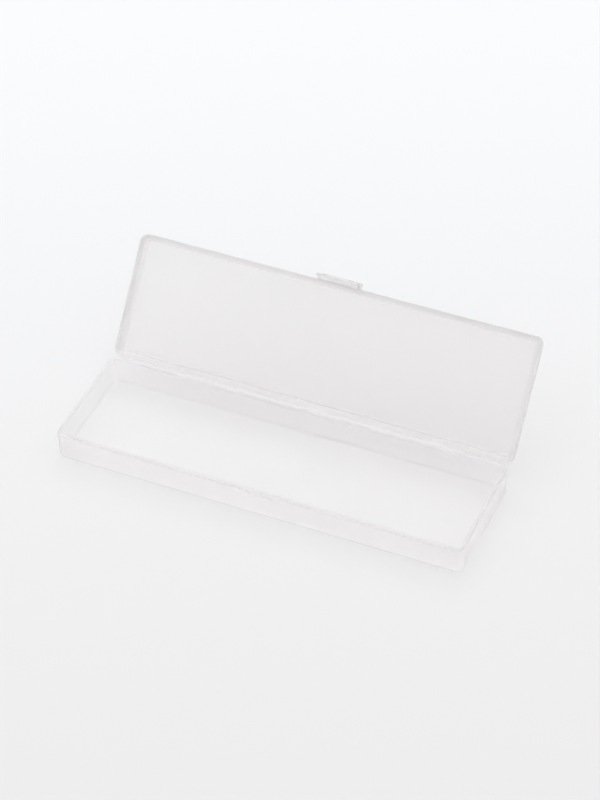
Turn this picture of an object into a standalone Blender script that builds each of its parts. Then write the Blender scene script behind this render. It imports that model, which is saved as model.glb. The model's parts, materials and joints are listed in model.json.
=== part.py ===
"""A hinged polypropylene pencil case: a shallow tray, a lid on a living hinge and a spring latch tab.

Metres, +Z up.  +X runs along the case, -Y is its front, +Y its hinge side.  The origin is the
middle of the tray's underside.  The lid is modelled shut and swung open about the hinge line by
an empty, and the latch tab hangs from the lid by a second empty on its own flex line.
"""
from math import radians

import bmesh
import bpy
from mathutils import Vector

MM = 0.001

# Overall sizes
LENGTH = 184.0 * MM            # outside, along X
WIDTH = 54.2 * MM              # outside, front to hinge side
TRAY_HEIGHT = 12.2 * MM        # underside to the shoulder that the lid closes on
LID_DEPTH = 6.5 * MM           # lid rim to the outside of its panel
OPEN_ANGLE = 130.0             # degrees between the shut lid and the lid as it stands open

# Tray
TRAY_WALL = 1.9 * MM
TRAY_FLOOR = 1.4 * MM
CORNER_RADIUS = 3.6 * MM       # upright corners, outside, of tray and lid alike
BASE_EDGE_RADIUS = 0.9 * MM    # outside edge round the underside
FLOOR_FILLET = 1.1 * MM        # inside, where wall and floor meet
WALL_DRAFT = 0.25 * MM         # how far each wall leans in over its height, to leave the mould
LIP_INSET = 1.0 * MM           # shoulder width, outside face to the locating lip
LIP_HEIGHT = 0.5 * MM

# Lid
LID_WALL = 2.4 * MM
LID_PANEL = 1.3 * MM
LID_EDGE_RADIUS = 1.1 * MM     # outside edge round the panel
PANEL_FILLET = 1.0 * MM        # inside, where wall and panel meet
RECESS_DEPTH = 0.8 * MM        # step in the rim that drops over the tray's lip

# Living hinge
HINGE_LENGTH = 145.0 * MM
HINGE_OFFSET = 0.5 * MM        # hinge line behind the rear walls
HINGE_THICKNESS = 0.5 * MM

# Latch
TAB_WIDTH = 18.4 * MM
TAB_THICKNESS = 1.2 * MM
TAB_STANDOFF = 1.3 * MM        # lid's front face to the back of the tab's plate
TAB_TIP = 0.3 * MM             # tab's end below its hook
TAB_EDGE_RADIUS = 0.35 * MM
HOOK_WIDTH = 13.9 * MM
HOOK_HEIGHT = 0.7 * MM
CATCH_WIDTH = 15.9 * MM
CATCH_HEIGHT = 1.5 * MM
CATCH_DROP = 0.4 * MM          # tray shoulder to the top of the catch
CATCH_REACH = 0.8 * MM         # how far the catch stands out of the tray's front

# Fits
CLOSING_GAP = 0.3 * MM         # shut lid's rim above the tray's shoulder
LIP_CLEARANCE = 0.3 * MM       # lip to the side of the lid's recess
SEAT_GAP = 0.3 * MM            # between pieces moulded together but kept as separate solids
HOOK_WALL_GAP = 0.4 * MM       # hook's tip to the tray's front face
HOOK_CATCH_GAP = 0.3 * MM      # hook's shelf below the catch

# Facets
CORNER_STEPS = 8
EDGE_STEPS = 4
OVERLAP = 0.6 * MM             # how far joined or cutting blocks run past the surface they meet

HALF_GAP = CLOSING_GAP / 2
HINGE_Y = WIDTH / 2 + HINGE_OFFSET
HINGE_Z = TRAY_HEIGHT + HALF_GAP
LID_REAR_Y = -HINGE_OFFSET                  # these four are measured from the hinge line, lid shut
LID_FRONT_Y = LID_REAR_Y - WIDTH
LID_MIDDLE_Y = (LID_REAR_Y + LID_FRONT_Y) / 2
LID_TOP_Z = HALF_GAP + LID_DEPTH


def clear_scene():
    for old in list(bpy.data.objects):
        bpy.data.objects.remove(old, do_unlink=True)
    for old in list(bpy.data.collections):
        bpy.data.collections.remove(old)


def new_collection(name):
    made = bpy.data.collections.new(name)
    bpy.context.scene.collection.children.link(made)
    return made


def plastic(name, colour, roughness, alpha):
    made = bpy.data.materials.new(name)
    made.use_nodes = True
    shader = made.node_tree.nodes["Principled BSDF"]
    shader.inputs["Base Color"].default_value = (*colour, 1.0)
    shader.inputs["Roughness"].default_value = roughness
    shader.inputs["Metallic"].default_value = 0.0
    shader.inputs["Alpha"].default_value = alpha
    return made


def place(name, mesh, collection, material=None):
    made = bpy.data.objects.new(name, mesh)
    collection.objects.link(made)
    if material:
        mesh.materials.append(material)
    if collection is cutters:
        made.hide_render = True
        made.display_type = 'WIRE'
    return made


def box_mesh(low, high):
    """A plain box between two corners, as a bmesh."""
    low, high = Vector(low), Vector(high)
    shape = bmesh.new()
    bmesh.ops.create_cube(shape, size=1.0)
    for vert in shape.verts:
        vert.co = Vector([low[i] + (vert.co[i] + 0.5) * (high[i] - low[i]) for i in range(3)])
    return shape


def bevel(shape, edges, radius, steps):
    bmesh.ops.bevel(shape, geom=edges, offset=radius, offset_type='OFFSET', segments=steps,
                    profile=0.5, affect='EDGES', clamp_overlap=True)


def finish_mesh(shape, name, sharp_above=35.0):
    bmesh.ops.recalc_face_normals(shape, faces=shape.faces[:])
    mesh = bpy.data.meshes.new(name)
    shape.to_mesh(mesh)
    shape.free()
    mesh.shade_smooth()
    mesh.set_sharp_from_angle(angle=radians(sharp_above))
    return mesh


def rounded_block(name, low, high, corner, edge=0.0, edge_at='low', lean=0.0):
    """A box with upright corners rounded, and its low or high face leaned in and edge-rounded."""
    shape = box_mesh(low, high)
    edge_z = low[2] if edge_at == 'low' else high[2]
    middle = Vector([(low[i] + high[i]) / 2 for i in range(3)])
    near = 1e-7
    for vert in shape.verts:
        if abs(vert.co.z - edge_z) < near:
            for i in (0, 1):
                vert.co[i] += lean if vert.co[i] < middle[i] else -lean
    uprights = [e for e in shape.edges if abs(e.verts[0].co.z - e.verts[1].co.z) > near]
    bevel(shape, uprights, corner, CORNER_STEPS)
    if edge:
        rim = [e for e in shape.edges if all(abs(v.co.z - edge_z) < near for v in e.verts)]
        bevel(shape, rim, edge, EDGE_STEPS)
    return finish_mesh(shape, name)


def boolean(target, operation, other):
    step = target.modifiers.new(f"{operation.lower()} {other.name}", 'BOOLEAN')
    step.operation = operation
    step.object = other
    step.solver = 'EXACT'


def tray_outline(inset, low_z, high_z):
    """Opposite corners of the tray's footprint, drawn in by inset."""
    x, y = LENGTH / 2 - inset, WIDTH / 2 - inset
    return (-x, -y, low_z), (x, y, high_z)


def lid_outline(inset, low_z, high_z):
    """The same for the shut lid, measured from the hinge line."""
    x, y = LENGTH / 2 - inset, WIDTH / 2 - inset
    return (-x, LID_MIDDLE_Y - y, low_z), (x, LID_MIDDLE_Y + y, high_z)


def make_tray():
    """Open box with a locating lip, a seat for the hinge strip and a catch on its front."""
    outside = rounded_block("tray", *tray_outline(0, 0, TRAY_HEIGHT), CORNER_RADIUS,
                            BASE_EDGE_RADIUS, 'low', WALL_DRAFT)
    tray = place("tray", outside, parts, plastic("tray plastic", FROSTED, 0.45, 0.75))

    lip_top = TRAY_HEIGHT + LIP_HEIGHT
    lip = place("lip block", rounded_block("lip block", *tray_outline(
        LIP_INSET, TRAY_HEIGHT - OVERLAP, lip_top), CORNER_RADIUS - LIP_INSET), cutters)
    boolean(tray, 'UNION', lip)

    cavity = place("tray cavity", rounded_block("tray cavity", *tray_outline(
        TRAY_WALL, TRAY_FLOOR, lip_top + OVERLAP), CORNER_RADIUS - TRAY_WALL,
        FLOOR_FILLET, 'low', WALL_DRAFT), cutters)
    boolean(tray, 'DIFFERENCE', cavity)

    seat_x = HINGE_LENGTH / 2 + SEAT_GAP
    seat_low = (-seat_x, WIDTH / 2 - TRAY_WALL - OVERLAP, TRAY_HEIGHT - HINGE_THICKNESS - SEAT_GAP)
    seat_high = (seat_x, WIDTH / 2 + OVERLAP, lip_top + OVERLAP)
    seat = place("hinge seat", finish_mesh(box_mesh(seat_low, seat_high), "hinge seat"), cutters)
    boolean(tray, 'DIFFERENCE', seat)

    boolean(tray, 'UNION', place("catch", catch_mesh(), cutters))
    return tray


def catch_mesh():
    """A bar across the tray's front whose upper face slopes, so that the hook rides over it."""
    top = TRAY_HEIGHT - CATCH_DROP
    shape = box_mesh((-CATCH_WIDTH / 2, -WIDTH / 2 - CATCH_REACH, top - CATCH_HEIGHT),
                     (CATCH_WIDTH / 2, -WIDTH / 2 + OVERLAP, top))
    front_y = min(v.co.y for v in shape.verts)
    for vert in shape.verts:
        if vert.co.y - front_y < 1e-7 and vert.co.z > top - CATCH_HEIGHT / 2:
            vert.co.z -= CATCH_HEIGHT * 0.55
    return finish_mesh(shape, "catch")


def make_lid(hinge):
    """Shallow cover whose rim is stepped to drop over the tray's lip."""
    outside = rounded_block("lid", *lid_outline(0, HALF_GAP, LID_TOP_Z), CORNER_RADIUS,
                            LID_EDGE_RADIUS, 'high', WALL_DRAFT)
    lid = place("lid", outside, parts, plastic("lid plastic", FROSTED, 0.45, 0.75))
    lid.parent = hinge

    cavity = place("lid cavity", rounded_block("lid cavity", *lid_outline(
        LID_WALL, HALF_GAP - OVERLAP, LID_TOP_Z - LID_PANEL), CORNER_RADIUS - LID_WALL,
        PANEL_FILLET, 'high', WALL_DRAFT), cutters)
    skirt = LIP_INSET - LIP_CLEARANCE
    recess = place("lid recess", rounded_block("lid recess", *lid_outline(
        skirt, HALF_GAP - OVERLAP, HALF_GAP + RECESS_DEPTH), CORNER_RADIUS - skirt), cutters)
    for cutter in (cavity, recess):
        cutter.parent = hinge
        boolean(lid, 'DIFFERENCE', cutter)
    return lid


def make_hinge_strip():
    """Thin strip on the tray's rear rim, reaching back to the hinge line where it bends."""
    rear_y = HINGE_Y + HINGE_OFFSET - SEAT_GAP
    low = (-HINGE_LENGTH / 2, WIDTH / 2 - TRAY_WALL, TRAY_HEIGHT - HINGE_THICKNESS)
    high = (HINGE_LENGTH / 2, rear_y, TRAY_HEIGHT)
    shape = box_mesh(low, high)
    rear = [e for e in shape.edges if all(abs(v.co.y - rear_y) < 1e-7 for v in e.verts)
            and abs(e.verts[0].co.x - e.verts[1].co.x) > HINGE_THICKNESS]
    bevel(shape, rear, HINGE_THICKNESS * 0.3, 3)
    return place("living_hinge", finish_mesh(shape, "living_hinge"), parts,
                 plastic("hinge plastic", FROSTED, 0.4, 0.7))


def make_latch(flex):
    """Tab in front of the lid: a root against its wall, a plate, and a hook turned inwards."""
    front = LID_FRONT_Y - flex.location.y
    rim = HALF_GAP - flex.location.z
    plate_y = front - TAB_STANDOFF
    top_z = LID_TOP_Z - LID_EDGE_RADIUS / 2 - flex.location.z
    hook_top = rim - (CLOSING_GAP + CATCH_DROP + CATCH_HEIGHT + HOOK_CATCH_GAP)
    tip_z = hook_top - HOOK_HEIGHT - TAB_TIP
    half = TAB_WIDTH / 2

    shape = box_mesh((-half, plate_y - TAB_THICKNESS, tip_z), (half, plate_y, top_z))
    bevel(shape, shape.edges[:], TAB_EDGE_RADIUS, 3)
    tab = place("latch_tab", finish_mesh(shape, "latch_tab"), parts,
                plastic("latch plastic", FROSTED, 0.45, 0.75))

    inset = TAB_EDGE_RADIUS * 2
    root = box_mesh((-half + inset, plate_y - TAB_THICKNESS / 2, rim),
                    (half - inset, front - SEAT_GAP, top_z - inset))
    hook = box_mesh((-HOOK_WIDTH / 2, plate_y - TAB_THICKNESS / 2, hook_top - HOOK_HEIGHT),
                    (HOOK_WIDTH / 2, front - HOOK_WALL_GAP, hook_top))
    for name, extra in (("latch root", root), ("latch hook", hook)):
        joined = place(name, finish_mesh(extra, name), cutters)
        joined.parent = flex
        boolean(tab, 'UNION', joined)
    tab.parent = flex
    return tab


def empty_on_axis(name, location, parent=None):
    made = bpy.data.objects.new(name, None)
    made.empty_display_size = 5 * MM
    made.location = location
    made.parent = parent
    parts.objects.link(made)
    return made


FROSTED = (0.93, 0.93, 0.94)

clear_scene()
parts = new_collection("pencil case")
cutters = new_collection("cutters")

hinge_line = empty_on_axis("hinge line", (0, HINGE_Y, HINGE_Z))
flex_line = empty_on_axis("latch flex line", (0, LID_FRONT_Y - SEAT_GAP, LID_TOP_Z - LID_EDGE_RADIUS),
                          hinge_line)
make_tray()
make_lid(hinge_line)
make_hinge_strip()
make_latch(flex_line)
hinge_line.rotation_euler = (radians(-OPEN_ANGLE), 0, 0)
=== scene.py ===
# %% [markdown]
# # A frosted pencil case
#
# The case is one polypropylene moulding: a shallow tray, a lid, a film hinge between them and a
# springy latch tab.  The CAD frame holds the sizes and the joints.  Each step here builds the
# fine surface of one of those pieces, and then gives it its plastic.

# %% Load the frame
import json
from math import cos, radians, sin

import bmesh
import bpy
from mathutils import Matrix, Vector


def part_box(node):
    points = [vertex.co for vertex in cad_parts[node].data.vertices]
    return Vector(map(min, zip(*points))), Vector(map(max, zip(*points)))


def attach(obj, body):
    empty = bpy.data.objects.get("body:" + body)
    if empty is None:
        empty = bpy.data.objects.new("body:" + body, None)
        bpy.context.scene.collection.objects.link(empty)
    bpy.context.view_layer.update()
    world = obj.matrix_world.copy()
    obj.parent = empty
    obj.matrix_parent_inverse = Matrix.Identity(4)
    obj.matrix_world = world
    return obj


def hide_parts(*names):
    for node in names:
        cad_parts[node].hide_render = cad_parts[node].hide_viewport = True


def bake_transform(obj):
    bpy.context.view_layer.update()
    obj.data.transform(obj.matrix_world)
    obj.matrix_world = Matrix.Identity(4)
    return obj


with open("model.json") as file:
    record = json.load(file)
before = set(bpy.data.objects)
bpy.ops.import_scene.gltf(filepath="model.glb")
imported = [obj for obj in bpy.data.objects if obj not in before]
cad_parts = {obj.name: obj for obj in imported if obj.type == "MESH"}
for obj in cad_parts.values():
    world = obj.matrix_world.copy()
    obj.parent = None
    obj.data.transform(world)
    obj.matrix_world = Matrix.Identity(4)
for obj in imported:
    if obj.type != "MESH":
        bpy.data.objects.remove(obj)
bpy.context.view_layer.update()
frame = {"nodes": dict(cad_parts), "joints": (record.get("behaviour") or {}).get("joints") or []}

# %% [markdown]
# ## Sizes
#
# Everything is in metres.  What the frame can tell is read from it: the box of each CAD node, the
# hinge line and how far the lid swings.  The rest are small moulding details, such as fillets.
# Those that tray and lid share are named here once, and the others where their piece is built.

MM = 0.001
joints = {joint["name"]: joint for joint in frame["joints"]}
hinge_line = Vector(joints["lid_hinge"]["pos_m"])
open_angle = radians(joints["lid_hinge"]["range_deg"][1])

to_hinge = Matrix.Translation(hinge_line)
shut_to_open = to_hinge @ Matrix.Rotation(-open_angle, 4, 'X') @ to_hinge.inverted()
open_to_shut = shut_to_open.inverted()


def shut_box(node):
    """Lowest and highest corner of a CAD node with the lid swung shut."""
    points = [open_to_shut @ vert.co for vert in frame["nodes"][node].data.vertices]
    low = Vector([min(point[axis] for point in points) for axis in range(3)])
    high = Vector([max(point[axis] for point in points) for axis in range(3)])
    return low, high


tray_low, tray_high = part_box("tray")
strip_low, strip_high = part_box("living_hinge")
lid_low, lid_high = shut_box("lid")
tab_low, tab_high = shut_box("latch_tab")

length = tray_high.x - tray_low.x
rear = tray_high.y
front = -rear                  # the catch stands out from here to tray_low.y
LIP_HEIGHT = 0.5 * MM
lip_top = tray_high.z
shoulder = lip_top - LIP_HEIGHT
print(f"tray {length / MM:.1f} x {(rear - front) / MM:.1f} x {shoulder / MM:.1f} mm,",
      f"lid {(lid_high.z - lid_low.z) / MM:.1f} mm deep, open {open_angle:.2f} rad")

# %% Moulding details
CORNER_RADIUS = 3.6 * MM
CORNER_STEPS = 14
FILLET_STEPS = 6
RIM_STEPS = 3
SOFT_EDGE = 0.08 * MM          # every rim edge leaves the mould slightly round
WALL_DRAFT = 0.25 * MM         # a moulded wall leans a little, so that it slips out of the mould

SHOULDER_WIDTH = 1.0 * MM
TRAY_WALL = 1.9 * MM
TRAY_FLOOR = 1.4 * MM
BASE_EDGE_RADIUS = 0.9 * MM
FLOOR_FILLET = 1.1 * MM

LID_SKIRT = 0.7 * MM
LID_WALL = 2.4 * MM
LID_PANEL = 1.3 * MM
LID_EDGE_RADIUS = 1.1 * MM
RECESS_DEPTH = 0.8 * MM
PANEL_FILLET = 1.0 * MM
print(f"walls {TRAY_WALL / MM:.1f} and {LID_WALL / MM:.1f} mm, corners {CORNER_RADIUS / MM:.1f} mm")

# %% [markdown]
# ## Small modelling helpers
#
# Modelling by hand in Blender is: add a primitive, go into edit mode, pick a few faces or edges,
# and run an operator on them.  These helpers do the picking by place, because a script can't
# click.

# %% Helpers for edit mode
NEAR = 0.01 * MM               # closer than this counts as lying on a plane
SHARP_FROM = radians(40)       # faces that meet at more than this make an edge to soften
SMOOTH_BELOW = radians(32)     # faces that meet at less than this are shaded as one surface


def add_block(name, low, high):
    """A primitive cube stretched between two corners, in edit mode with nothing selected."""
    bpy.ops.object.select_all(action='DESELECT')
    low, high = Vector(low), Vector(high)
    bpy.ops.mesh.primitive_cube_add(size=1.0, location=(low + high) / 2)
    block = bpy.context.active_object
    block.name = block.data.name = name
    block.scale = high - low
    bpy.ops.object.transform_apply(location=True, rotation=True, scale=True)
    bpy.ops.object.mode_set(mode='EDIT')
    bpy.ops.mesh.select_all(action='DESELECT')
    return block


def choose(block, kind, test):
    """Select only the faces, or only the edges, that pass a test, and say how many they are."""
    bpy.ops.mesh.select_mode(type='FACE' if kind == "faces" else 'EDGE')
    bpy.ops.mesh.select_all(action='DESELECT')
    shape = bmesh.from_edit_mesh(block.data)
    shape.normal_update()
    found = [item for item in getattr(shape, kind) if test(item)]
    for item in found:
        item.select_set(True)
    bmesh.update_edit_mesh(block.data)
    return len(found)


def at_height(item, z):
    return all(abs(vert.co.z - z) < NEAR for vert in item.verts)


def at_depth(item, y):
    return all(abs(vert.co.y - y) < NEAR for vert in item.verts)


def upright(edge):
    return abs(edge.verts[0].co.z - edge.verts[1].co.z) > NEAR


def sharp(edge):
    return len(edge.link_faces) == 2 and edge.calc_face_angle(0.0) > SHARP_FROM


def bevel(radius, steps):
    bpy.ops.mesh.bevel(offset=radius, offset_type='OFFSET', segments=steps, profile=0.5,
                       affect='EDGES', clamp_overlap=True)


def inset(width):
    bpy.ops.mesh.inset(thickness=width, use_even_offset=True)


def extrude(x=0.0, y=0.0, z=0.0):
    bpy.ops.mesh.extrude_region_move(TRANSFORM_OT_translate={"value": (x, y, z)})


def lean_in(middle, width, depth, by):
    """Draw the selected face in by the same amount on every side."""
    share = ((width - 2 * by) / width, (depth - 2 * by) / depth, 1.0)
    bpy.ops.transform.resize(value=share, center_override=middle)


def leave_edit(block, turn=None):
    """Turn the faces outwards, go back to object mode and shade smooth between crisp edges."""
    bpy.ops.mesh.select_all(action='SELECT')
    bpy.ops.mesh.normals_make_consistent(inside=False)
    bpy.ops.mesh.select_all(action='DESELECT')
    bpy.ops.object.mode_set(mode='OBJECT')
    if turn:
        block.data.transform(turn)
    bpy.ops.object.shade_smooth_by_angle(angle=SMOOTH_BELOW)
    print(f"{block.name}: {len(block.data.polygons)} faces")


def cut_or_join(block, other, operation):
    """Apply an exact Boolean with another block, which is then removed."""
    bpy.ops.object.select_all(action='DESELECT')
    bpy.context.view_layer.objects.active = block
    block.select_set(True)
    step = block.modifiers.new(operation.lower(), 'BOOLEAN')
    step.operation, step.object, step.solver = operation, other, 'EXACT'
    bpy.ops.object.modifier_apply(modifier=step.name)
    bpy.data.objects.remove(other, do_unlink=True)

# %% [markdown]
# ## The tray
#
# A moulded box is easiest to build the way its wall would be drawn in section: start from a
# block, round the uprights, then walk over the rim with inset and extrude.  The shoulder, the
# lip and the inside wall come out of one face, so the walls keep an even thickness.

# %% Build the tray
middle = Vector((0, 0, 0))
tray = add_block("tray_shell", (tray_low.x, front, 0), (tray_high.x, rear, shoulder))
choose(tray, "edges", upright)
bevel(CORNER_RADIUS, CORNER_STEPS)
choose(tray, "faces", lambda face: at_height(face, 0))
lean_in(middle, length, rear - front, WALL_DRAFT)
choose(tray, "edges", lambda edge: at_height(edge, 0))
bevel(BASE_EDGE_RADIUS, FILLET_STEPS)

choose(tray, "faces", lambda face: at_height(face, shoulder))
inset(SHOULDER_WIDTH)
extrude(z=LIP_HEIGHT)
inset(TRAY_WALL - SHOULDER_WIDTH)
extrude(z=TRAY_FLOOR - lip_top)
lean_in(middle, length - 2 * TRAY_WALL, rear - front - 2 * TRAY_WALL, WALL_DRAFT)
choose(tray, "edges", lambda edge: at_height(edge, TRAY_FLOOR))
bevel(FLOOR_FILLET, FILLET_STEPS)
leave_edit(tray)

# %% [markdown]
# The hinge side has no lip between the two ends: the rim is flat there and runs on into the
# hinge film.  A Boolean cuts that stretch of lip away.  The catch on the front is a small bar
# with a sloping top, which the latch hook rides over, and a flat underside that holds it.

# %% Cut the hinge seat, add the catch and soften the rim
CATCH_WIDTH = 15.9 * MM
CATCH_HEIGHT = 1.5 * MM
CATCH_DROP = 0.4 * MM          # from the shoulder down to the top of the catch
CATCH_SLOPE = 0.75 * MM        # how far its top falls towards the front
seat = add_block("seat", (strip_low.x, rear - TRAY_WALL - MM, shoulder),
                 (strip_high.x, rear + MM, lip_top + MM))
leave_edit(seat)
cut_or_join(tray, seat, 'DIFFERENCE')

catch_top = shoulder - CATCH_DROP
catch = add_block("catch", (-CATCH_WIDTH / 2, tray_low.y, catch_top - CATCH_HEIGHT),
                  (CATCH_WIDTH / 2, front + TRAY_WALL / 2, catch_top))
choose(catch, "edges", lambda edge: at_depth(edge, tray_low.y) and at_height(edge, catch_top))
bpy.ops.transform.translate(value=(0, 0, -CATCH_SLOPE))
choose(catch, "edges", lambda edge: at_depth(edge, tray_low.y))
bevel(SOFT_EDGE, RIM_STEPS)
leave_edit(catch)
cut_or_join(tray, catch, 'UNION')

bpy.ops.object.mode_set(mode='EDIT')
found = choose(tray, "edges", lambda edge: sharp(edge)
               and min(vert.co.z for vert in edge.verts) > shoulder - NEAR)
bevel(SOFT_EDGE, RIM_STEPS)
leave_edit(tray)
print(f"softened {found} rim edges")

# %% [markdown]
# ## The lid
#
# The lid is drawn shut, straight above the tray, because every plane is level there.  It is then
# swung open about the hinge line.  Its rim is stepped: the outer skirt meets the tray's shoulder,
# and the recess behind it drops over the lip.

# %% Build the lid
lid_middle = Vector(((lid_low.x + lid_high.x) / 2, (lid_low.y + lid_high.y) / 2, lid_low.z))
lid_size = lid_high - lid_low
lid = add_block("lid_shell", lid_low, lid_high)
choose(lid, "edges", upright)
bevel(CORNER_RADIUS, CORNER_STEPS)
choose(lid, "faces", lambda face: at_height(face, lid_high.z))
lean_in(lid_middle, lid_size.x, lid_size.y, WALL_DRAFT)
choose(lid, "edges", lambda edge: at_height(edge, lid_high.z))
bevel(LID_EDGE_RADIUS, FILLET_STEPS)

choose(lid, "faces", lambda face: at_height(face, lid_low.z))
inset(LID_SKIRT)
extrude(z=RECESS_DEPTH)
inset(LID_WALL - LID_SKIRT)
ceiling = lid_high.z - LID_PANEL
extrude(z=ceiling - lid_low.z - RECESS_DEPTH)
lean_in(lid_middle, lid_size.x - 2 * LID_WALL, lid_size.y - 2 * LID_WALL, WALL_DRAFT)
choose(lid, "edges", lambda edge: at_height(edge, ceiling))
bevel(PANEL_FILLET, FILLET_STEPS)
choose(lid, "edges", lambda edge: sharp(edge) and not upright(edge)
       and max(vert.co.z for vert in edge.verts) < lid_low.z + RECESS_DEPTH + NEAR)
bevel(SOFT_EDGE, RIM_STEPS)
leave_edit(lid, turn=shut_to_open)

# %% [markdown]
# ## The latch tab
#
# The tab hangs in front of the lid: a root on the lid's front wall, a thin plate that can bend,
# and a hook turned in under the tray's catch.  It starts as the plate.  Bisect draws the lines
# that bound the root and the hook, and those patches are then extruded towards the case.

# %% Build the latch tab
TAB_THICKNESS = 1.2 * MM
HOOK_WIDTH = 13.9 * MM
HOOK_WALL_GAP = 0.4 * MM       # from the hook's nose to the plane of the front walls
HOOK_HEIGHT = 0.7 * MM
TAB_TIP = 0.3 * MM             # the plate goes on this far below the hook
TAB_EDGE = 0.38 * MM           # rounding of the outer face, which fingers touch
TAB_STEPS = 4
ROOT_HOLD = 0.15 * MM          # how far the root runs into the lid's wall
hook_low = tab_low.z + TAB_TIP
hook_high = hook_low + HOOK_HEIGHT
plate_back = tab_low.y + TAB_THICKNESS
tab = add_block("latch_spring_tab", tab_low, (tab_high.x, plate_back, tab_high.z))
choose(tab, "edges", lambda edge: at_depth(edge, tab_low.y))
bevel(TAB_EDGE, TAB_STEPS)


def draw_line(point, normal):
    bpy.ops.mesh.select_all(action='SELECT')
    bpy.ops.mesh.bisect(plane_co=point, plane_no=normal)


for z in (hook_low, hook_high, lid_low.z):
    draw_line((0, 0, z), (0, 0, 1))
for x in (-HOOK_WIDTH / 2, HOOK_WIDTH / 2):
    draw_line((x, 0, 0), (1, 0, 0))


def on_back(face, low, high, half_width):
    centre = face.calc_center_median()
    return (at_depth(face, plate_back) and low < centre.z < high
            and abs(centre.x) < half_width)


choose(tab, "faces", lambda face: on_back(face, lid_low.z, tab_high.z, tab_high.x))
extrude(y=lid_low.y - plate_back + ROOT_HOLD)
choose(tab, "faces", lambda face: on_back(face, hook_low, hook_high, HOOK_WIDTH / 2))
extrude(y=lid_low.y - plate_back - HOOK_WALL_GAP)
choose(tab, "edges", sharp)
bevel(SOFT_EDGE, RIM_STEPS)
leave_edit(tab, turn=shut_to_open)

# %% [markdown]
# ## The film hinge
#
# Polypropylene folds thousands of times where it is thin.  Here the tray's rear rim thins to a
# film that crosses the hinge line and runs into the lid's rear wall.  Its section is a chain of
# points; the film itself is that section swept along the hinge with one extrude.

# %% Build the hinge film
FILM_THICKNESS = 0.35 * MM
FILM_SINK = 0.03 * MM          # the film's top lies this far under the rim, so no faces coincide
FILM_STEPS = 8
FILM_HOLD = 0.15 * MM          # how far the film runs into the wall at each end
FILM_REACH = 0.6               # how long it keeps going straight on, as a share of the gap
sunk = FILM_SINK + FILM_THICKNESS / 2
film_start = Vector((0, rear, shoulder - sunk))
lid_edge = shut_to_open @ Vector((0, lid_high.y, lid_low.z + sunk))
lid_inward = (shut_to_open.to_3x3() @ Vector((0, -1, 0))).normalized()


def film_line(share):
    """A smooth way from the tray's rear edge to the lid's rear edge, leaving both squarely."""
    reach = (lid_edge - film_start).length * FILM_REACH
    first_pull = film_start + Vector((0, reach, 0))
    last_pull = lid_edge - lid_inward * reach
    rest = 1 - share
    return (film_start * rest ** 3 + first_pull * 3 * rest ** 2 * share
            + last_pull * 3 * rest * share ** 2 + lid_edge * share ** 3)


def film_section():
    """Outline of the film: over the top to the lid and back along the underside."""
    line = [film_start - Vector((0, FILM_HOLD, 0))]
    line += [film_line(step / FILM_STEPS) for step in range(FILM_STEPS + 1)]
    line.append(lid_edge + lid_inward * FILM_HOLD)
    top, under = [], []
    for index, point in enumerate(line):
        ahead = line[min(index + 1, len(line) - 1)] - line[max(index - 1, 0)]
        across = Vector((0, -ahead.z, ahead.y)).normalized() * FILM_THICKNESS / 2
        top.append(point + across)
        under.append(point - across)
    return top[::-1] + under


section = film_section()
bpy.ops.object.select_all(action='DESELECT')
bpy.ops.mesh.primitive_circle_add(vertices=len(section), radius=MM, fill_type='NGON')
film = bpy.context.active_object
film.name = film.data.name = "hinge_film"
for vert, point in zip(film.data.vertices, section):
    vert.co = (strip_low.x, point.y, point.z)
film.location = (0, 0, 0)
bpy.ops.object.mode_set(mode='EDIT')
bpy.ops.mesh.select_all(action='SELECT')
extrude(x=strip_high.x - strip_low.x)
leave_edit(film)

# %% [markdown]
# ## Plastic from nodes
#
# Shader maths reads best as ordinary expressions, so a small class wraps a node socket and adds
# Math nodes when it is added to or multiplied.  `Nodes.make` adds any other node in one line.

# %% Shader helpers


class Signal:
    """A socket that can be used in expressions, such as 1 - mask * 0.2."""

    def __init__(self, nodes, socket):
        self.nodes, self.socket = nodes, socket

    def _math(self, operation, *values):
        return self.nodes.make('ShaderNodeMath', {"operation": operation}, *values)

    def __add__(self, other):
        return self._math('ADD', self, other)

    def __sub__(self, other):
        return self._math('SUBTRACT', self, other)

    def __mul__(self, other):
        return self._math('MULTIPLY', self, other)

    def __rsub__(self, other):
        return self._math('SUBTRACT', other, self)

    __radd__, __rmul__ = __add__, __mul__

    def __abs__(self):
        return self._math('ABSOLUTE', self)

    def lesser(self, other):
        return self._math('MINIMUM', self, other)

    def step_up(self, low, high):
        """0 below low, 1 above high, with a smooth rise between."""
        settings = {"interpolation_type": 'SMOOTHSTEP'}
        return self.nodes.make('ShaderNodeMapRange', settings, Value=self,
                               **{"From Min": low, "From Max": high})


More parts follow.
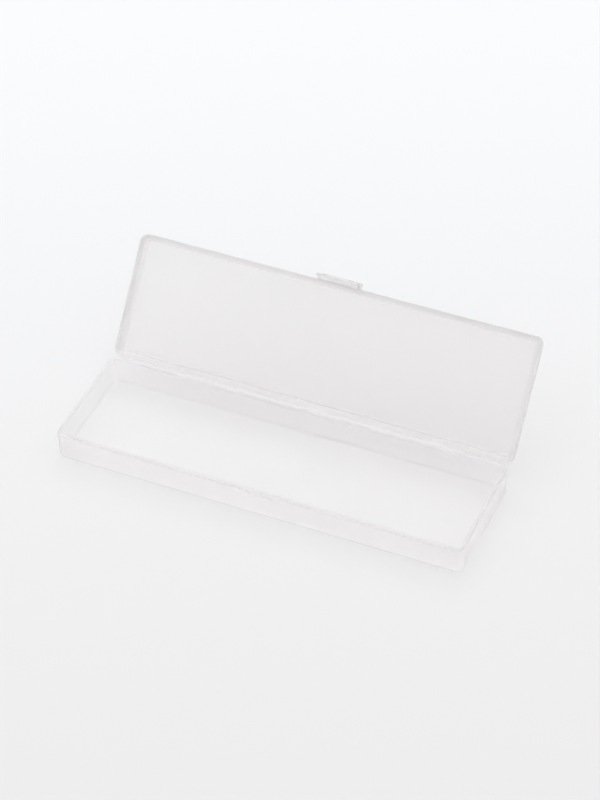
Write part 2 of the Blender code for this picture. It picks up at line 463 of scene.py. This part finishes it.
class Nodes:
    """One material's node tree, with its Principled shader ready."""

    def __init__(self, name):
        self.material = bpy.data.materials.new(name)
        self.material.use_nodes = True
        self.tree = self.material.node_tree
        self.shader = self.tree.nodes["Principled BSDF"]

    def make(self, kind, settings=None, *values, out=0, **named):
        """Add a node, set it up and feed its inputs; gives one output, or all when out is None."""
        node = self.tree.nodes.new(kind)
        for key, value in (settings or {}).items():
            setattr(node, key, value)
        for key, value in [*enumerate(values), *named.items()]:
            self.feed(node.inputs[key], value)
        if out is None:
            return {socket.name: Signal(self, socket) for socket in node.outputs}
        return Signal(self, node.outputs[out])

    def feed(self, socket, value):
        """Link a signal to an input, or set the input to a plain value."""
        if isinstance(value, Signal):
            self.tree.links.new(value.socket, socket)
        else:
            socket.default_value = value

    def noise(self, place, scale, detail=2.0, jitter=0.5):
        return self.make('ShaderNodeTexNoise', Vector=place, Scale=scale,
                         Detail=detail, Roughness=jitter)

    def mix_colour(self, share, first, second):
        node = self.tree.nodes.new('ShaderNodeMix')
        node.data_type = 'RGBA'
        self.feed(node.inputs["Factor"], share)
        self.feed(node.inputs["A"], first)
        self.feed(node.inputs["B"], second)
        return Signal(self, node.outputs["Result"])

# %% [markdown]
# ## Frosted polypropylene
#
# The plastic is milky: light goes through it, but spread so widely that nothing sharp shows
# behind it.  Rough transmission on Principled does that with little noise, where subsurface would
# turn thin walls dark.  A share of plain diffuse colour stands for the milkiness, and a weak
# absorption inside darkens the long ways through a rim.  The skin is finely matt, a little uneven
# where the melt flowed, and carries faint handling scuffs.  The film is whitened by bending, so it
# lets no light through.

# %% Where each zone of a piece lies
RIM_FADE = (0.15 * MM, 0.7 * MM)       # away from the rim plane
EDGE_FADE = (0.2 * MM, 1.1 * MM)       # away from the outer edge, where shade is painted
WALL_FADE = (1.6 * MM, 2.4 * MM)       # inwards, through the wall and the fillet behind it
HINGE_FADE = 3.0 * MM                  # the hinge side begins this far from the rear
HINGE_FULL = 1.0 * MM                  # and shows fully from here on
SIDE_SHARE = 0.45                      # the painted wall shade's strength in the rear half, 1 in front


def lie_flat(nodes, turn):
    """Object coordinates, turned so that the piece lies as it does in the shut case."""
    place = nodes.make('ShaderNodeTexCoord', out="Object")
    return nodes.make('ShaderNodeMapping', Vector=place,
                      Location=turn.translation, Rotation=turn.to_euler())


def zones(nodes, place, low, high, rim, outer):
    """Masks from 0 to 1: rim, outer edge, inside the wall, hinge side, and the far end."""
    centre, half = (low + high) / 2, (high - low) / 2
    apart = nodes.make('ShaderNodeSeparateXYZ', None, place, out=None)
    from_end = half.x - abs(apart["X"] - centre.x)
    from_side = half.y - abs(apart["Y"] - centre.y)
    inwards = from_end.lesser(from_side)
    at_front = 1 - apart["Y"].step_up(low.y, centre.y)

    at_rim = (1 - abs(apart["Z"] - rim).step_up(*RIM_FADE)) * at_front
    at_edge = (1 - abs(apart["Z"] - outer).step_up(*EDGE_FADE)) * (1 - inwards.step_up(*EDGE_FADE))
    in_wall = (1 - inwards.step_up(*WALL_FADE)) * (SIDE_SHARE + (1 - SIDE_SHARE) * at_front)
    at_hinge = apart["Y"].step_up(high.y - HINGE_FADE, high.y - HINGE_FULL)
    far_end = apart["X"].step_up(low.x, high.x)
    return at_rim, at_edge, in_wall, at_hinge, far_end

# %% [markdown]
# A moulded skin is never quite even.  Four noises say how: wide flow marks drawn out along the
# case, soft clouds, a grain of about a fifth of a millimetre, and scuffs, which are a noise
# stretched into strokes and kept only where it is strongest.

# %% How uneven the plastic is
FLOW_STRETCH = (1.0, 3.5, 3.5)
FLOW_SCALE = 22.0
FLOW_DETAIL = 4.0
FLOW_RANGE = (0.3, 0.7)
CLOUD_SCALE = 90.0
CLOUD_RANGE = (0.45, 0.65)             # scuffs show only where the clouds are this strong
GRAIN_SCALE = 5200.0
GRAIN_JITTER = 0.65
SCUFF_STRETCH = (14.0, 260.0, 140.0)
SCUFF_SLANT = 0.5
SCUFF_SCALE = 6.0
SCUFF_DETAIL = 3.0
SCUFF_RANGE = (0.62, 0.72)


def melt_marks(nodes, place):
    """Four uneven signals: flow marks, clouds, fine grain and slanting scuffs."""
    along = nodes.make('ShaderNodeMapping', Vector=place, Scale=FLOW_STRETCH)
    flow = nodes.noise(along, FLOW_SCALE, detail=FLOW_DETAIL).step_up(*FLOW_RANGE)
    cloud = nodes.noise(place, CLOUD_SCALE)
    grain = nodes.noise(place, GRAIN_SCALE, jitter=GRAIN_JITTER)
    brushed = nodes.make('ShaderNodeMapping', Vector=place, Rotation=(0.0, 0.0, SCUFF_SLANT),
                         Scale=SCUFF_STRETCH)
    streak = nodes.noise(brushed, SCUFF_SCALE, detail=SCUFF_DETAIL)
    scuffed = streak.step_up(*SCUFF_RANGE) * cloud.step_up(*CLOUD_RANGE)
    return flow, cloud, grain, scuffed

# %% [markdown]
# Each plastic has six tints: clear and dense melt, the hinge side, the wall, the rim and the outer
# edge.  All but the melt are painted light and shade: wall and rim are painted darker, the edge
# holds a painted contact shadow along the tray's foot and a darker band on the other pieces, and
# the hinge side holds a painted shadow of the lid on the tray and a painted lighter band on the
# lid.  The melt comes first, the wall goes over it, and the hinge side, the rim and the edge
# follow, so the edge wins.  Flow, grain and scuffs roughen the skin and feed one bump.

# %% Make the plastics
MELT_COLOUR = (0.5, 0.47, 0.49, 1.0)   # what the absorption inside lets through
PLASTIC_IOR = 1.49
CLOUD_SHARE = 0.4                      # of the melt's unevenness; the rest is flow
END_SHARE = 0.5                        # the colour also gets darker towards the right-hand end
EDGE_SHADE_LEAST = 0.7                       # of the painted edge shade everywhere
EDGE_SHADE_CLOUDY = 0.6                      # and this much more where the clouds are thickest
GRAIN_ROUGHENS = 0.08
FLOW_ROUGHENS = 0.06
SCUFF_ROUGHENS = 0.12
EDGE_ROUGHENS = 0.15
RIM_ROUGHENS = 0.15
GRAIN_HEIGHT = 0.6
FLOW_HEIGHT = 2.0
SCUFF_HEIGHT = 0.8
BUMP_STRENGTH = 0.25
BUMP_DEPTH = 0.02 * MM


def frosted(name, turn, low, high, rim, outer, tints, dullness, clearness, depth_loss):
    """Milky plastic; clearness goes through, and depth_loss darkens long ways through the wall."""
    nodes = Nodes(name)
    place = lie_flat(nodes, turn)
    at_rim, at_edge, in_wall, at_hinge, far_end = zones(nodes, place, low, high, rim, outer)
    flow, cloud, grain, scuffed = melt_marks(nodes, place)
    clear, dense, hinge_shade_and_light_tint, wall_shade_tint, rim_shade_tint, edge_shade_tint = [(*tint, 1.0) for tint in tints]

    uneven = flow * (1 - CLOUD_SHARE) + cloud * CLOUD_SHARE
    # The melt's tone is uneven at random, and darker towards the right-hand end as well
    clear_share = uneven * (1 - END_SHARE) + (1 - far_end) * END_SHARE
    # Painted shade along the outer edge: on the tray a painted contact shadow along its foot,
    # patchy with the clouds
    edge_shade = at_edge * (EDGE_SHADE_LEAST + EDGE_SHADE_CLOUDY * cloud)
    colour = nodes.mix_colour(clear_share, dense, clear)
    # Painted light and shade over the melt: darker wall and rim bands, a painted shadow of the lid
    # on the tray's hinge side, a painted lighter band on the lid's hinge side, and the painted edge
    # shade
    for zone, tint in ((in_wall, wall_shade_tint), (at_hinge, hinge_shade_and_light_tint), (at_rim, rim_shade_tint),
                       (edge_shade, edge_shade_tint)):
        colour = nodes.mix_colour(zone, colour, tint)
    rough = (dullness + grain * GRAIN_ROUGHENS + flow * FLOW_ROUGHENS + scuffed * SCUFF_ROUGHENS
             + at_edge * cloud * EDGE_ROUGHENS + at_rim * RIM_ROUGHENS)
    height = grain * GRAIN_HEIGHT + flow * FLOW_HEIGHT + scuffed * SCUFF_HEIGHT
    bump = nodes.make('ShaderNodeBump', Strength=BUMP_STRENGTH, Distance=BUMP_DEPTH, Height=height)

    shader = nodes.shader.inputs
    nodes.feed(shader["Base Color"], colour)
    nodes.feed(shader["Roughness"], rough)
    nodes.feed(shader["Normal"], bump)
    shader["IOR"].default_value = PLASTIC_IOR
    shader["Transmission Weight"].default_value = clearness
    if depth_loss:
        inside = nodes.make('ShaderNodeVolumeAbsorption', Color=MELT_COLOUR, Density=depth_loss)
        nodes.feed(nodes.tree.nodes["Material Output"].inputs["Volume"], inside)
    return nodes.material

# %% [markdown]
# The tray is the clearest piece and the lid is milkier.  The tab is dense and a little glossier,
# and the film is opaque.  Each gets its own material, because each ends up as a slot of its own.

# %% Give each piece its plastic
as_it_is = Matrix.Identity(4)
wall_low = Vector((tray_low.x, front, 0))       # the tray's outline without its catch
# Clear, dense, hinge side, wall, rim, edge; the last four are painted light and shade
TRAY_TINTS = ((0.999, 0.998, 0.996), (0.999, 0.994, 0.993), (0.975, 0.962, 0.965),
              (0.952, 0.94, 0.943), (0.955, 0.944, 0.946), (0.68, 0.67, 0.672))
LID_TINTS = ((0.952, 0.941, 0.942), (0.92, 0.905, 0.907), (0.99, 0.968, 0.972),
             (0.84, 0.825, 0.828), (0.82, 0.805, 0.808), (0.92, 0.905, 0.908))
TAB_TINTS = ((1.0, 0.99, 0.99), (0.98, 0.97, 0.97), (0.99, 0.98, 0.98),
             (0.98, 0.97, 0.97), (0.97, 0.96, 0.96), (0.94, 0.93, 0.93))
FILM_TINTS = ((0.90, 0.892, 0.892), (0.87, 0.862, 0.862), (0.90, 0.892, 0.892),
              (0.89, 0.882, 0.882), (0.89, 0.882, 0.882), (0.88, 0.872, 0.872))
coats = (
    (tray, frosted("frosted tray plastic", as_it_is, wall_low, tray_high, lip_top, 0.0,
                   TRAY_TINTS, dullness=0.44, clearness=0.985, depth_loss=3.0)),
    (lid, frosted("frosted lid plastic", open_to_shut, lid_low, lid_high, lid_low.z, lid_high.z,
                  LID_TINTS, dullness=0.52, clearness=0.84, depth_loss=2.0)),
    (tab, frosted("dense tab plastic", open_to_shut, tab_low, tab_high, hook_low, tab_high.z,
                  TAB_TINTS, dullness=0.40, clearness=0.75, depth_loss=20.0)),
    (film, frosted("flexed film plastic", as_it_is, strip_low, strip_high, shoulder, shoulder,
                   FILM_TINTS, dullness=0.55, clearness=0.0, depth_loss=0.0)),
)
for piece, plastic in coats:
    piece.data.materials.append(plastic)
    print(f"{piece.name} wears {plastic.name}")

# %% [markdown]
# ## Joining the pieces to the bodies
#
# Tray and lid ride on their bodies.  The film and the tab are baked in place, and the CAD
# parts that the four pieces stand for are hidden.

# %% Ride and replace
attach(tray, "tray")
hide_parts("tray")
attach(lid, "lid")
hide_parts("lid")
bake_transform(film)
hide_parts("living_hinge")

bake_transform(tab)
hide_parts("latch_tab")

# %% [markdown]
# ## Camera, floor and light
#
# A long lens from high on the front right shows the whole tray and the inside of the lid.  The
# camera's axes are worked out from two angles and a small roll, and written as its matrix.

# %% Camera
AZIMUTH = radians(25.144)
ELEVATION = radians(42.539)
ROLL = radians(-2.05)
TARGET = Vector((-0.0106, 0.0439, 0.0))
DISTANCE = 1.2231
SENSOR_WIDTH = 36.0
FOCAL_LENGTH = 169.8
CLIP_NEAR = 0.05
CLIP_FAR = 20.0

level = cos(ELEVATION)
back = Vector((sin(AZIMUTH) * level, -cos(AZIMUTH) * level, sin(ELEVATION)))
side = Vector((0, 0, 1)).cross(back).normalized()
up = back.cross(side)
side, up = cos(ROLL) * side + sin(ROLL) * up, cos(ROLL) * up - sin(ROLL) * side
lens = bpy.data.cameras.new("camera")
lens.sensor_fit = 'HORIZONTAL'
lens.sensor_width = SENSOR_WIDTH
lens.lens = FOCAL_LENGTH
lens.clip_start = CLIP_NEAR
lens.clip_end = CLIP_FAR
camera = bpy.data.objects.new("camera", lens)
bpy.context.scene.collection.objects.link(camera)
camera.matrix_world = Matrix((side, up, back)).transposed().to_4x4()
camera.location = TARGET + back * DISTANCE
bpy.context.scene.camera = camera
print("camera at", [round(value, 3) for value in camera.location])

# %% [markdown]
# The floor is a plain matt sheet that fills the view.  Painted light makes it paler and cooler
# with distance, so its colour is mixed along the direction that leads away from the camera.

# %% Floor
FLOOR_SIZE = 8.0
FLOOR_GAP = 0.05 * MM          # the sheet lies this far under the tray, so no faces coincide
# Painted light: the floor is darker near the camera and paler and cooler far away
FLOOR_NEAR = (0.803, 0.792, 0.794, 1)
FLOOR_FAR = (0.90, 0.915, 0.93, 1)
FLOOR_FADE = (-0.35, 0.45)     # metres from the middle of the tray, away from the camera
FLOOR_ROUGHNESS = 0.9
FLOOR_SHEEN = 0.1

bpy.ops.object.select_all(action='DESELECT')
bpy.ops.mesh.primitive_plane_add(size=FLOOR_SIZE, location=(0, 0, -FLOOR_GAP))
floor = bpy.context.active_object
floor.name = "floor"
paper = Nodes("pale floor")
ground = paper.make('ShaderNodeTexCoord', out="Object")
away = paper.make('ShaderNodeVectorMath', {"operation": 'DOT_PRODUCT'}, ground,
                  (-sin(AZIMUTH), cos(AZIMUTH), 0.0), out="Value")
shade = paper.mix_colour(away.step_up(*FLOOR_FADE), FLOOR_NEAR, FLOOR_FAR)
paper.feed(paper.shader.inputs["Base Color"], shade)
paper.shader.inputs["Roughness"].default_value = FLOOR_ROUGHNESS
paper.shader.inputs["Specular IOR Level"].default_value = FLOOR_SHEEN
floor.data.materials.append(paper.material)
print(f"floor {FLOOR_SIZE:.0f} m wide")

# %% [markdown]
# Nearly all of the light is a soft sky, a little brighter overhead than at the horizon.  One small
# lamp behind the case adds a trace of direction, so the lid shades the rear of the tray.

# %% Sky
SKY_LOW = 0.76
SKY_HIGH = 1.083
SKY_AIM = (-0.05, 0.2, 0.978)  # the brightest direction, almost straight up
SKY_FADE = (-0.45, 0.95)       # from below the horizon to nearly overhead

world = bpy.data.worlds.new("studio")
bpy.context.scene.world = world
world.use_nodes = True
studio = world.node_tree
sky = studio.nodes["Background"]
sky.inputs["Color"].default_value = (1.0, 1.0, 1.0, 1.0)
toward = studio.nodes.new('ShaderNodeTexCoord')
aim = studio.nodes.new('ShaderNodeVectorMath')
aim.operation = 'DOT_PRODUCT'
aim.inputs[1].default_value = SKY_AIM
studio.links.new(toward.outputs["Generated"], aim.inputs[0])
glow = studio.nodes.new('ShaderNodeMapRange')
glow.interpolation_type = 'SMOOTHSTEP'
glow.inputs["From Min"].default_value = SKY_FADE[0]
glow.inputs["From Max"].default_value = SKY_FADE[1]
glow.inputs["To Min"].default_value = SKY_LOW
glow.inputs["To Max"].default_value = SKY_HIGH
studio.links.new(aim.outputs["Value"], glow.inputs["Value"])
studio.links.new(glow.outputs["Result"], sky.inputs["Strength"])
print(f"sky from {SKY_LOW} to {SKY_HIGH}")

# %% Key light
KEY_PLACE = Vector((-0.35, 1.5, 1.6))
KEY_WIDTH = 0.12
KEY_POWER = 2.2

lamp = bpy.data.lights.new("key", 'AREA')
lamp.shape = 'DISK'
lamp.size = KEY_WIDTH
lamp.energy = KEY_POWER
key = bpy.data.objects.new("key", lamp)
bpy.context.scene.collection.objects.link(key)
key.location = KEY_PLACE
key.rotation_euler = (-KEY_PLACE).to_track_quat('-Z', 'Y').to_euler()

view = bpy.context.scene.view_settings
view.view_transform = 'Standard'
view.look = 'None'
view.exposure = 0.0
print(f"key light {KEY_PLACE.length:.2f} m from the case")

# %% [markdown]
# Light has to pass many walls of milky plastic before it reaches the table, so the renderer is
# given enough bounces, and is told not to blur the ones it would otherwise smooth over.

# %% Light paths
CLEAR_BOUNCES = 32
DIFFUSE_BOUNCES = 8

paths = bpy.context.scene.cycles
paths.max_bounces = CLEAR_BOUNCES
paths.transmission_bounces = CLEAR_BOUNCES
paths.glossy_bounces = CLEAR_BOUNCES
paths.diffuse_bounces = DIFFUSE_BOUNCES
paths.blur_glossy = 0.0
print(CLEAR_BOUNCES, "bounces through clear plastic")
